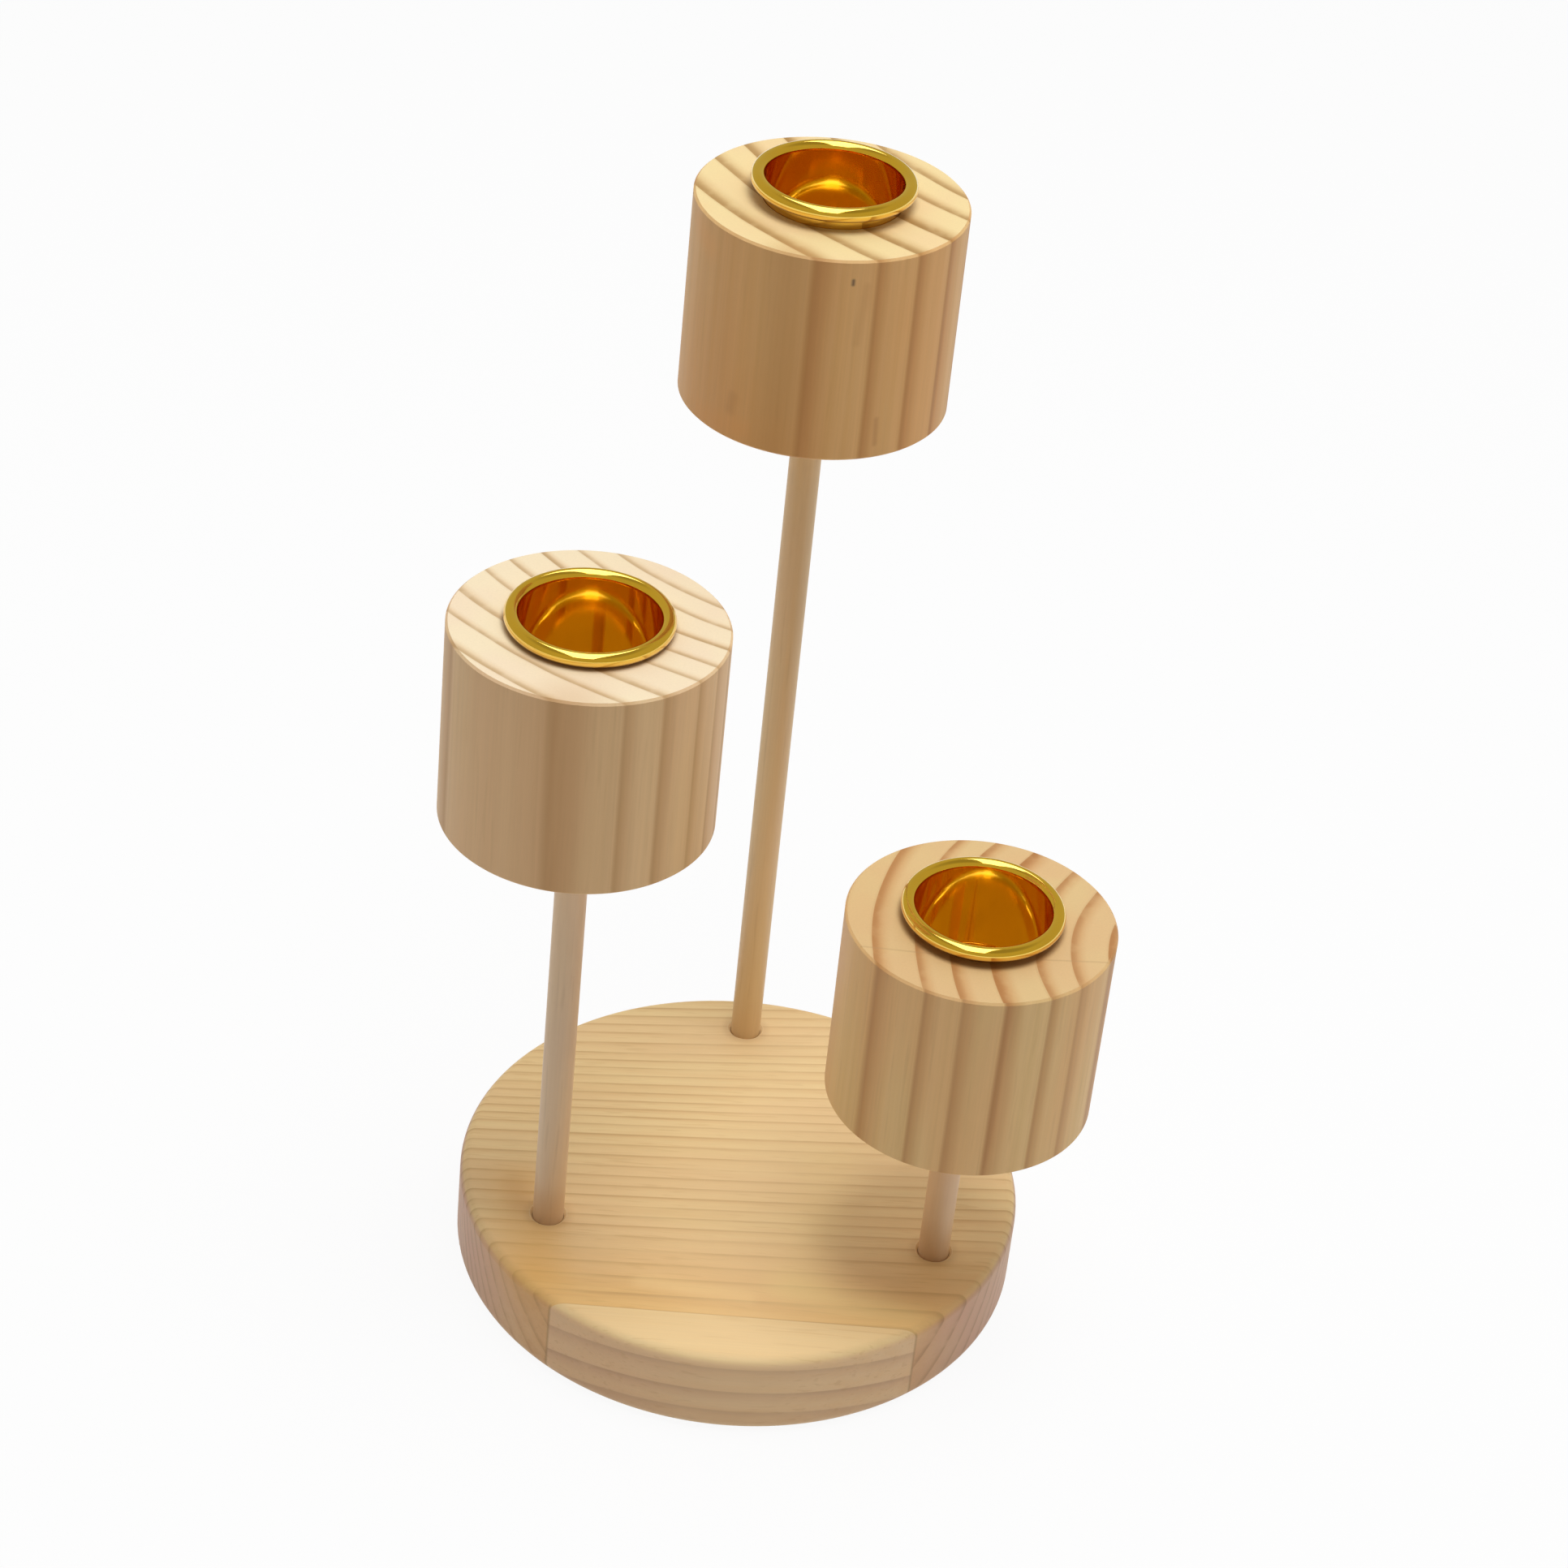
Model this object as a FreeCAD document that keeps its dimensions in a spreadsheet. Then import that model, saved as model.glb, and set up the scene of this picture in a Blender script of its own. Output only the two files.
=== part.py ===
import FreeCAD, Part
import math
import os
import Sketcher

# Candelabra with three arms. Millimetres, +Z up, origin at the centre of the base's underside.
# The front, where the narrow glued strip is, faces -Y.

# Driving dimensions, one cell each in the sheet
sizes = {
    # round base, glued up from a wide board and a narrow front strip
    "base_diameter": 110.0,
    "base_thickness": 18.0,
    "base_top_round": 2.0,
    "base_bottom_round": 3.0,
    # the strip's greatest width, and the turn of its glue line in degrees from the X axis
    "strip_width": 12.3,
    "glue_line_turn": 2.5,
    # each arm's place: distance of its axis from the base's edge, and bearing in degrees from +X
    "tall_inset": 10.2,
    "tall_bearing": 92.5,
    "middle_inset": 14.3,
    "middle_bearing": 208.0,
    "low_inset": 12.2,
    "low_bearing": 335.5,
    # dowels, and the length of each that shows between base and block
    "dowel_diameter": 6.0,
    "dowel_end_chamfer": 0.6,
    "dowel_clearance": 0.1,
    "tall_dowel_showing": 150.0,
    "middle_dowel_showing": 95.0,
    "low_dowel_showing": 40.0,
    # blind holes for the dowels: the wood left under them in the base, where their mouths are
    # broken, and their depth in the blocks
    "base_hole_floor": 6.0,
    "base_hole_mouth": 0.5,
    "block_hole_depth": 14.0,
    # turned blocks
    "block_diameter": 50.0,
    "block_height": 40.0,
    "block_edge_break": 0.4,
    # brass cups, spun from sheet, with a rolled rim
    "cup_inner_diameter": 24.8,
    "cup_wall": 0.4,
    "cup_height": 20.0,
    "cup_rim_roll": 2.7,
    "cup_floor_corner": 1.6,
    "cup_clearance": 0.1,
    # how far the underside of each rolled rim stands above the wood
    "tall_cup_stand": 1.9,
    "middle_cup_stand": 0.2,
    "low_cup_stand": 1.1,
    # how far a saw cut runs past the wood
    "overrun": 1.0,
}

arms = ("tall", "middle", "low")

# Sizes that follow from the ones above
dowelHoleDiameter = "sizes.dowel_diameter + 2 * sizes.dowel_clearance"
baseHoleDepth = "(sizes.base_thickness - sizes.base_hole_floor)"
cupBodyDiameter = "(sizes.cup_inner_diameter + 2 * sizes.cup_wall)"
cupBoreDiameter = f"{cupBodyDiameter} + 2 * sizes.cup_clearance"
cupRollHeight = "sizes.cup_height - sizes.cup_rim_roll / 2"
sawReach = "(sizes.base_diameter / 2 + sizes.overrun)"
glueLinePlace = "(sizes.base_diameter / 2 - sizes.strip_width)"

# Edges are found by size and height, to within this difference
sameWithin = 1e-6


def cupBoreDepth(arm):
    return f"(sizes.cup_height - sizes.cup_rim_roll - sizes.{arm}_cup_stand)"


def armAcross(arm):
    return f"(sizes.base_diameter / 2 - sizes.{arm}_inset) * cos(sizes.{arm}_bearing)"


def armAlong(arm):
    return f"(sizes.base_diameter / 2 - sizes.{arm}_inset) * sin(sizes.{arm}_bearing)"


def blockUnderside(arm):
    return f"sizes.base_thickness + sizes.{arm}_dowel_showing"


doc = FreeCAD.newDocument("candelabra")
sheet = doc.addObject("Spreadsheet::Sheet", "sizes")
for row, (alias, value) in enumerate(sizes.items(), start=1):
    sheet.set(f"A{row}", alias)
    sheet.set(f"B{row}", str(value))
    sheet.setAlias(f"B{row}", alias)
doc.recompute()


def makeBody(label):
    body = doc.addObject("PartDesign::Body", label)
    body.Label = label
    return body


def addSketch(body, name, role="XY_Plane", height=None):
    """A sketch on one of the body's own planes, lifted to a bound height if one is given."""
    plane = next(feature for feature in body.Origin.OriginFeatures if feature.Role == role)
    sketch = body.newObject("Sketcher::SketchObject", f"{body.Name}_{name}")
    sketch.AttachmentSupport = [(plane, "")]
    sketch.MapMode = "FlatFace"
    if height:
        sketch.setExpression("AttachmentOffset.Base.z", height)
    return sketch


def bindConstraint(sketch, name, constraint, expression):
    """Adds a dimension to a sketch and binds it to the sheet."""
    index = sketch.addConstraint(constraint)
    sketch.renameConstraint(index, name)
    sketch.setExpression(f"Constraints.{name}", expression)


def bindPoint(sketch, name, curve, end, across, along):
    """Holds a point of a curve at a bound place, measured from the sketch's origin."""
    start = sketch.getPoint(curve, end)
    bindConstraint(sketch, f"{name}_across",
                   Sketcher.Constraint("DistanceX", -1, 1, curve, end, start.x), across)
    bindConstraint(sketch, f"{name}_along",
                   Sketcher.Constraint("DistanceY", -1, 1, curve, end, start.y), along)


def addLine(sketch, start, end):
    return sketch.addGeometry(Part.LineSegment(start, end))


def addCircle(sketch, name, diameter, across=None, along=None):
    """A circle on the sketch's origin, or at a bound place."""
    unitCircle = Part.Circle(FreeCAD.Vector(0, 0, 0), FreeCAD.Vector(0, 0, 1), 1)
    circle = sketch.addGeometry(unitCircle)
    bindConstraint(sketch, f"{name}_diameter", Sketcher.Constraint("Diameter", circle, 1), diameter)
    if across is None:
        sketch.addConstraint(Sketcher.Constraint("Coincident", circle, 3, -1, 1))
    else:
        bindPoint(sketch, name, circle, 3, across, along)


def addFeature(body, kind, name, **properties):
    """A feature on the body, with each string among the properties bound as an expression."""
    feature = body.newObject(f"PartDesign::{kind}", f"{body.Name}_{name}")
    for key, value in properties.items():
        if isinstance(value, str):
            feature.setExpression(key, value)
        else:
            setattr(feature, key, value)
    doc.recompute()
    return feature


def addPocket(body, name, sketch, depth, upward=False):
    """Cuts down from the sketch, or up from it, and makes sure that something was cut."""
    before = body.Shape.Volume
    pocket = addFeature(body, "Pocket", name, Profile=sketch, Reversed=upward, Length=depth)
    if not body.Shape.Volume < before:
        raise RuntimeError(f"{pocket.Name} cut nothing")
    return pocket


def rimEdges(feature, diameter, heights):
    """Names of a feature's circular edges of one diameter, at any of the heights."""
    names = []
    for number, edge in enumerate(feature.Shape.Edges, start=1):
        if not isinstance(edge.Curve, Part.Circle):
            continue
        sameSize = abs(2 * edge.Curve.Radius - diameter) < sameWithin
        if sameSize and any(abs(edge.Curve.Center.z - height) < sameWithin for height in heights):
            names.append(f"Edge{number}")
    return feature, names


def standAt(body, arm, height):
    """Stands a body on an arm's axis, at a bound height."""
    body.setExpression("Placement.Base.x", armAcross(arm))
    body.setExpression("Placement.Base.y", armAlong(arm))
    body.setExpression("Placement.Base.z", height)


def makeDisc(label):
    """The whole round base with its rounded edges, before it is parted along the glue line."""
    body = makeBody(label)
    outline = addSketch(body, "outline")
    addCircle(outline, "edge", "sizes.base_diameter")
    blank = addFeature(body, "Pad", "blank", Profile=outline, Length="sizes.base_thickness")
    topEdge = rimEdges(blank, sizes["base_diameter"], (sizes["base_thickness"],))
    rounded = addFeature(body, "Fillet", "top_round", Base=topEdge, Radius="sizes.base_top_round")
    bottomEdge = rimEdges(rounded, sizes["base_diameter"], (0,))
    addFeature(body, "Fillet", "bottom_round", Base=bottomEdge, Radius="sizes.base_bottom_round")
    return body


def partAlongGlueLine(body, side):
    """Takes away all the wood in front of the glue line, where side is -1, or behind it."""
    cut = addSketch(body, "glue_cut")
    turn = sizes["glue_line_turn"]
    cut.AttachmentOffset = FreeCAD.Placement(FreeCAD.Vector(0, 0, 0), FreeCAD.Vector(0, 0, 1), turn)
    cut.setExpression("AttachmentOffset.Rotation.Angle", "sizes.glue_line_turn")
    reach = sizes["base_diameter"] / 2 + sizes["overrun"]
    line = sizes["strip_width"] - sizes["base_diameter"] / 2
    corners = [
        FreeCAD.Vector(-reach, line, 0),
        FreeCAD.Vector(reach, line, 0),
        FreeCAD.Vector(reach, side * reach, 0),
        FreeCAD.Vector(-reach, side * reach, 0),
    ]
    sides = [addLine(cut, corner, corners[(i + 1) % 4]) for i, corner in enumerate(corners)]
    for i, direction in enumerate(("Horizontal", "Vertical", "Horizontal", "Vertical")):
        cut.addConstraint(Sketcher.Constraint(direction, sides[i]))
        cut.addConstraint(Sketcher.Constraint("Coincident", sides[i], 2, sides[(i + 1) % 4], 1))
    bindPoint(cut, "line", sides[0], 1, f"-{sawReach}", f"-{glueLinePlace}")
    bindPoint(cut, "far", sides[2], 1, sawReach, f"{side} * {sawReach}")
    addPocket(body, "parted", cut, "sizes.base_thickness", upward=True)


def makeBaseBoard():
    """Wide board of the base, drilled for the dowels, each hole's mouth broken."""
    body = makeDisc("base_board")
    partAlongGlueLine(body, -1)
    holes = addSketch(body, "dowel_holes", height="sizes.base_thickness")
    for arm in arms:
        addCircle(holes, arm, dowelHoleDiameter, armAcross(arm), armAlong(arm))
    drilled = addPocket(body, "drilled", holes, baseHoleDepth)
    diameter = sizes["dowel_diameter"] + 2 * sizes["dowel_clearance"]
    mouths = rimEdges(drilled, diameter, (sizes["base_thickness"],))
    addFeature(body, "Chamfer", "hole_mouths", Base=mouths, Size="sizes.base_hole_mouth")
    return body


def makeBaseFrontStrip():
    """Narrow strip glued to the board's front edge before the base was rounded."""
    body = makeDisc("base_front_strip")
    partAlongGlueLine(body, 1)
    return body


def makeDowel(arm):
    body = makeBody(f"dowel_{arm}")
    section = addSketch(body, "section")
    addCircle(section, "side", "sizes.dowel_diameter")
    length = f"{baseHoleDepth} + sizes.{arm}_dowel_showing + sizes.block_hole_depth"
    rod = addFeature(body, "Pad", "rod", Profile=section, Length=length)
    ends = rimEdges(rod, sizes["dowel_diameter"], (0, rod.Length.Value))
    addFeature(body, "Chamfer", "ends", Base=ends, Size="sizes.dowel_end_chamfer")
    standAt(body, arm, "sizes.base_hole_floor")
    return body


def makeBlock(arm):
    """Turned block with a flat-bottomed cup bore on top and a dowel hole underneath."""
    body = makeBody(f"block_{arm}")
    outline = addSketch(body, "outline")
    addCircle(outline, "side", "sizes.block_diameter")
    blank = addFeature(body, "Pad", "blank", Profile=outline, Length="sizes.block_height")
    edges = rimEdges(blank, sizes["block_diameter"], (0, sizes["block_height"]))
    addFeature(body, "Chamfer", "edge_break", Base=edges, Size="sizes.block_edge_break")
    bore = addSketch(body, "cup_bore", height="sizes.block_height")
    addCircle(bore, "wall", cupBoreDiameter)
    addPocket(body, "bored", bore, cupBoreDepth(arm))
    hole = addSketch(body, "dowel_hole")
    addCircle(hole, "wall", dowelHoleDiameter)
    addPocket(body, "drilled", hole, "sizes.block_hole_depth", upward=True)
    standAt(body, arm, blockUnderside(arm))
    return body


def drawCupProfile(sketch):
    """Half section of a cup: floor, rounded corner, wall, and a rim rolled outwards over the top."""
    inner = sizes["cup_inner_diameter"] / 2
    wall = sizes["cup_wall"]
    outer = inner + wall
    corner = sizes["cup_floor_corner"]
    roll = sizes["cup_rim_roll"] / 2
    rollTop = sizes["cup_height"] - roll
    rollStart = math.acos((wall - roll) / roll)
    wallTop = rollTop - roll * math.sin(rollStart)

    def point(across, along):
        return FreeCAD.Vector(across, along, 0)

    def arc(centre, radius, start, end):
        circle = Part.Circle(centre, FreeCAD.Vector(0, 0, 1), radius)
        return sketch.addGeometry(Part.ArcOfCircle(circle, start, end))

    quarter = math.pi / 2
    underside = addLine(sketch, point(0, 0), point(inner - corner, 0))
    outerCorner = arc(point(inner - corner, corner + wall), corner + wall, -quarter, 0)
    outside = addLine(sketch, point(outer, corner + wall), point(outer, wallTop))
    rim = arc(point(inner + roll, rollTop), roll, 4 * quarter - rollStart, 6 * quarter)
    inside = addLine(sketch, point(inner, rollTop), point(inner, wall + corner))
    innerCorner = arc(point(inner - corner, wall + corner), corner, -quarter, 0)
    floor = addLine(sketch, point(inner - corner, wall), point(0, wall))
    axis = addLine(sketch, point(0, wall), point(0, 0))

    for constraint in (
        ("Coincident", underside, 1, -1, 1),
        ("Horizontal", underside),
        ("Tangent", underside, 2, outerCorner, 1),
        ("Tangent", outerCorner, 2, outside, 1),
        ("Vertical", outside),
        ("Coincident", outside, 2, rim, 1),
        ("Tangent", rim, 2, inside, 1),
        ("Vertical", inside),
        ("Tangent", inside, 2, innerCorner, 2),
        ("Tangent", innerCorner, 1, floor, 1),
        ("Horizontal", floor),
        ("Coincident", floor, 2, axis, 1),
        ("Coincident", axis, 2, underside, 1),
        ("Vertical", axis),
    ):
        sketch.addConstraint(Sketcher.Constraint(*constraint))
    dimensions = (
        ("inner_radius", ("DistanceX", -1, 1, inside, 1, inner), "sizes.cup_inner_diameter / 2"),
        ("outer_radius", ("DistanceX", -1, 1, outside, 1, outer), f"{cupBodyDiameter} / 2"),
        ("floor_thickness", ("DistanceY", -1, 1, axis, 1, wall), "sizes.cup_wall"),
        ("roll_height", ("DistanceY", -1, 1, rim, 3, rollTop), cupRollHeight),
        ("roll_radius", ("Radius", rim, roll), "sizes.cup_rim_roll / 2"),
        ("inner_corner", ("Radius", innerCorner, corner), "sizes.cup_floor_corner"),
        ("outer_corner", ("Radius", outerCorner, corner + wall),
         "sizes.cup_floor_corner + sizes.cup_wall"),
    )
    for name, constraint, expression in dimensions:
        bindConstraint(sketch, name, Sketcher.Constraint(*constraint), expression)


def makeCup(arm):
    """Brass cup that stands on the floor of its block's bore."""
    body = makeBody(f"cup_{arm}")
    profile = addSketch(body, "profile", role="XZ_Plane")
    drawCupProfile(profile)
    doc.recompute()
    addFeature(body, "Revolution", "spun", Profile=profile, ReferenceAxis=(profile, ["V_Axis"]))
    standAt(body, arm, f"{blockUnderside(arm)} + sizes.block_height - {cupBoreDepth(arm)}")
    return body


pieces = [makeBaseBoard(), makeBaseFrontStrip()]
for make in (makeDowel, makeBlock, makeCup):
    pieces += [make(arm) for arm in arms]
doc.recompute()

for item in doc.Objects:
    if "Invalid" in item.State or "Error" in item.State:
        raise RuntimeError(f"{item.Name} did not recompute: {item.State}")
for sketch in doc.findObjects("Sketcher::SketchObject"):
    if not sketch.FullyConstrained:
        raise RuntimeError(f"{sketch.Name} is not fully constrained")
for piece in pieces:
    if piece.Shape.isNull() or not piece.Shape.isValid() or len(piece.Shape.Solids) != 1:
        raise RuntimeError(f"{piece.Label} is not one valid solid")

os.makedirs("parts", exist_ok=True)
for piece in pieces:
    piece.Shape.exportStep(f"parts/{piece.Label}.step")
    print(f"{piece.Label}: {piece.Shape.Volume / 1000:.2f} cm3")
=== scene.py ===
# Candelabra of softwood and brass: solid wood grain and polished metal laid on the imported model,
# with a white floor, soft studio light and the photograph's camera.
import math

import bpy
from mathutils import Euler, Matrix, Vector


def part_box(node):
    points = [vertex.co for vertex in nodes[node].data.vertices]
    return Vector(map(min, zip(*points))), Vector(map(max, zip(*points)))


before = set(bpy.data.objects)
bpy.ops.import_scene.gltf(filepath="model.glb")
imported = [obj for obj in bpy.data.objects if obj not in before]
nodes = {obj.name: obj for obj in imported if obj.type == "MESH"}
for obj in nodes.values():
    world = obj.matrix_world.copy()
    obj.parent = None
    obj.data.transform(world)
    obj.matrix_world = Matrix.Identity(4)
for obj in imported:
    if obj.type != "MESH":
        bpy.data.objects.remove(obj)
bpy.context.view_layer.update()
mm = 0.001
print("frame loaded with", len(nodes), "pieces")

# Small helpers for node trees: an operand is either a socket to link or a plain value


def feed(tree, socket, value):
    if isinstance(value, bpy.types.NodeSocket):
        tree.links.new(value, socket)
    else:
        socket.default_value = value


def calc(tree, operation, *operands, clamp=False):
    node = tree.nodes.new("ShaderNodeMath")
    node.operation = operation
    node.use_clamp = clamp
    for socket, value in zip(node.inputs, operands):
        feed(tree, socket, value)
    return node.outputs[0]


def vectorCalc(tree, operation, *operands):
    node = tree.nodes.new("ShaderNodeVectorMath")
    node.operation = operation
    for socket, value in zip(node.inputs, operands):
        feed(tree, socket, value)
    single = operation in ("LENGTH", "DISTANCE", "DOT_PRODUCT")
    return node.outputs["Value" if single else "Vector"]


def spread(tree, value, low, high, newLow=0.0, newHigh=1.0, smooth=True):
    node = tree.nodes.new("ShaderNodeMapRange")
    node.interpolation_type = "SMOOTHSTEP" if smooth else "LINEAR"
    for label, number in (("Value", value), ("From Min", low), ("From Max", high),
                          ("To Min", newLow), ("To Max", newHigh)):
        feed(tree, node.inputs[label], number)
    return node.outputs["Result"]


mixColour = {"first": 6, "second": 7, "result": 2}  # a Mix node's colour sockets, which share names with others


def blendColour(tree, factor, first, second, mode="MIX"):
    node = tree.nodes.new("ShaderNodeMix")
    node.data_type = "RGBA"
    node.blend_type = mode
    feed(tree, node.inputs["Factor"], factor)
    feed(tree, node.inputs[mixColour["first"]], first)
    feed(tree, node.inputs[mixColour["second"]], second)
    return node.outputs[mixColour["result"]]


def greyOf(tree, value):
    colour = tree.nodes.new("ShaderNodeCombineColor")
    for channel in colour.inputs:
        feed(tree, channel, value)
    return colour.outputs["Color"]


def noise(tree, position, size, detail=2.0, roughness=0.5):
    node = tree.nodes.new("ShaderNodeTexNoise")
    feed(tree, node.inputs["Vector"], position)
    feed(tree, node.inputs["Scale"], size)
    node.inputs["Detail"].default_value = detail
    node.inputs["Roughness"].default_value = roughness
    return node.outputs["Fac"]


def layOut(tree):  # columns by distance from the end, for reading in the editor
    depth = {}
    waiting = [(node, 0) for node in tree.nodes if not any(s.is_linked for s in node.outputs)]
    while waiting:
        node, column = waiting.pop()
        if depth.get(node, -1) >= column:
            continue
        depth[node] = column
        waiting += [(link.from_node, column + 1) for s in node.inputs for link in s.links]
    rows = {}
    for node, column in depth.items():
        rows[column] = rows.get(column, 0) + 1
        node.location = (-220 * column, -180 * rows[column])


def makeGroup(name, inputs, outputs):
    group = bpy.data.node_groups.new(name, "ShaderNodeTree")
    for label, kind, value in inputs:
        socket = group.interface.new_socket(label, in_out="INPUT", socket_type="NodeSocket" + kind)
        socket.default_value = value
    for label in outputs:
        group.interface.new_socket(label, in_out="OUTPUT", socket_type="NodeSocketFloat")
    return group, group.nodes.new("NodeGroupInput").outputs, group.nodes.new("NodeGroupOutput").inputs


def useGroup(tree, group, **values):
    node = tree.nodes.new("ShaderNodeGroup")
    node.node_tree = group
    for label, value in values.items():
        feed(tree, node.inputs[label], value)
    return node.outputs


# Shader groups that the woods and the brass share


def fanOut(tree, position, fan):  # rings and fibres lie wider apart towards one end of the trunk
    along = vectorCalc(tree, "DOT_PRODUCT", position, (0, 0, 1))
    squeeze = calc(tree, "SUBTRACT", 1.0, calc(tree, "MULTIPLY", along, fan))
    scale = tree.nodes.new("ShaderNodeCombineXYZ")
    feed(tree, scale.inputs["X"], squeeze)
    feed(tree, scale.inputs["Y"], squeeze)
    scale.inputs["Z"].default_value = 1.0
    return vectorCalc(tree, "MULTIPLY", position, scale.outputs["Vector"])


trunkShape = {"alongGrain": 0.18, "perMetre": 1000.0}  # how far the wander is drawn out, millimetres in a metre


def makeTrunk():  # distance from the pith in millimetres, a little out of round as a tree is
    group, given, out = makeGroup("trunk", [
        ("Position", "Vector", (0, 0, 0)), ("Wander", "Float", 0.8), ("WanderSize", "Float", 22.0),
        ("Fan", "Float", 0.0)], ["Distance"])
    fanned = fanOut(group, given["Position"], given["Fan"])
    across = vectorCalc(group, "MULTIPLY", fanned, (1, 1, 0))
    distance = calc(group, "MULTIPLY", vectorCalc(group, "LENGTH", across), trunkShape["perMetre"])
    stretched = vectorCalc(group, "MULTIPLY", fanned, (1, 1, trunkShape["alongGrain"]))
    drift = noise(group, stretched, calc(group, "DIVIDE", trunkShape["perMetre"], given["WanderSize"]), 1.0)
    drift = calc(group, "MULTIPLY", calc(group, "SUBTRACT", drift, 0.5), given["Wander"])
    feed(group, out["Distance"], calc(group, "ADD", distance, drift))
    layOut(group)
    return group


ringShape = {"warmFull": 0.97, "coreLead": 0.08, "coreFull": 0.95, "afterWidth": 0.05, "afterStrength": 0.25}


def makeRingLines():  # each ring builds up from pale early wood to a dark line that stops sharply
    group, given, out = makeGroup("ringLines", [
        ("Count", "Float", 0.0), ("LineShare", "Float", 0.12), ("FadeShare", "Float", 0.3),
        ("Edge", "Float", 0.03), ("Uneven", "Float", 0.3), ("Break", "Float", 1.0)], ["Line", "Warmth"])
    share = calc(group, "FRACT", given["Count"])
    lineStart = calc(group, "SUBTRACT", 1.0, given["LineShare"])
    fadeStart = calc(group, "SUBTRACT", lineStart, given["FadeShare"])
    stop = spread(group, share, calc(group, "SUBTRACT", 1.0, given["Edge"]), 1.0, 1.0, 0.0)
    rise = calc(group, "MULTIPLY", spread(group, share, fadeStart, ringShape["warmFull"]), stop)
    core = spread(group, share, calc(group, "SUBTRACT", lineStart, ringShape["coreLead"]), ringShape["coreFull"])
    after = spread(group, share, 0.0, ringShape["afterWidth"], ringShape["afterStrength"], 0.0)
    chance = group.nodes.new("ShaderNodeTexWhiteNoise")
    chance.noise_dimensions = "1D"
    feed(group, chance.inputs["W"], calc(group, "FLOOR", given["Count"]))
    weight = calc(group, "SUBTRACT", 1.0, calc(group, "MULTIPLY", chance.outputs["Value"], given["Uneven"]))
    weight = calc(group, "MULTIPLY", weight, given["Break"])
    line = calc(group, "ADD", calc(group, "MULTIPLY", core, stop), after)
    feed(group, out["Line"], calc(group, "MULTIPLY", line, weight, clamp=True))
    feed(group, out["Warmth"], calc(group, "MULTIPLY", rise, weight))
    layOut(group)
    return group


fibreShape = {
    "fineAlong": 0.02, "cloudAlong": 0.22, "dashAlong": 0.05,  # how far each is drawn out along the grain
    "fineSize": 1000.0, "bandSize": 160.0, "dashSize": 480.0, "gapSize": 130.0,
    "cloudEdges": (0.38, 0.62), "dashEdges": (0.6, 0.72), "gapEdges": (0.3, 0.52),
}


def makeFibre():  # fine streaks along the grain, softer bands, blushes of tone, short dashes and a relief
    group, given, out = makeGroup("fibre", [
        ("Position", "Vector", (0, 0, 0)), ("Width", "Float", 0.35), ("Blush", "Float", 14.0),
        ("Fan", "Float", 0.0)], ["Streak", "Band", "Cloud", "Dash", "Break", "Relief"])
    fanned = fanOut(group, given["Position"], given["Fan"])
    along = vectorCalc(group, "MULTIPLY", fanned, (1, 1, fibreShape["fineAlong"]))
    fine = noise(group, along, calc(group, "DIVIDE", fibreShape["fineSize"], given["Width"]), 3.0, 0.6)
    broad = noise(group, along, calc(group, "DIVIDE", fibreShape["bandSize"], given["Width"]), 2.0)
    drawn = vectorCalc(group, "MULTIPLY", fanned, (1, 1, fibreShape["cloudAlong"]))
    cloud = noise(group, drawn, calc(group, "DIVIDE", fibreShape["fineSize"], given["Blush"]), 2.0, 0.45)
    short = vectorCalc(group, "MULTIPLY", fanned, (1, 1, fibreShape["dashAlong"]))
    dash = noise(group, short, calc(group, "DIVIDE", fibreShape["dashSize"], given["Width"]), 1.0)
    gap = noise(group, short, calc(group, "DIVIDE", fibreShape["gapSize"], given["Width"]), 2.0)
    feed(group, out["Streak"], calc(group, "SUBTRACT", fine, 0.5))
    feed(group, out["Band"], calc(group, "SUBTRACT", broad, 0.5))
    feed(group, out["Cloud"], spread(group, cloud, *fibreShape["cloudEdges"]))
    feed(group, out["Dash"], spread(group, dash, *fibreShape["dashEdges"]))
    feed(group, out["Break"], spread(group, gap, *fibreShape["gapEdges"]))
    feed(group, out["Relief"], fine)
    layOut(group)
    return group


def makeMark():  # a soft stroke between two points: a saw mark, a resin fleck, a painted shade or sheen
    group, given, out = makeGroup("mark", [
        ("Position", "Vector", (0, 0, 0)), ("From", "Vector", (0, 0, 0)), ("To", "Vector", (0, 0, 0.001)),
        ("Core", "Float", 0.0), ("HalfWidth", "Float", 0.0003)], ["Mask"])
    offset = vectorCalc(group, "SUBTRACT", given["Position"], given["From"])
    run = vectorCalc(group, "SUBTRACT", given["To"], given["From"])
    share = calc(group, "DIVIDE", vectorCalc(group, "DOT_PRODUCT", offset, run),
                 vectorCalc(group, "DOT_PRODUCT", run, run), clamp=True)
    scaled = group.nodes.new("ShaderNodeVectorMath")
    scaled.operation = "SCALE"
    feed(group, scaled.inputs[0], run)
    feed(group, scaled.inputs["Scale"], share)
    gap = vectorCalc(group, "DISTANCE", offset, scaled.outputs["Vector"])
    feed(group, out["Mask"], spread(group, gap, given["Core"], given["HalfWidth"], 1.0, 0.0))
    layOut(group)
    return group


trunk, ringLines, fibre, mark = makeTrunk(), makeRingLines(), makeFibre(), makeMark()
print("shader groups ready")


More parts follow.
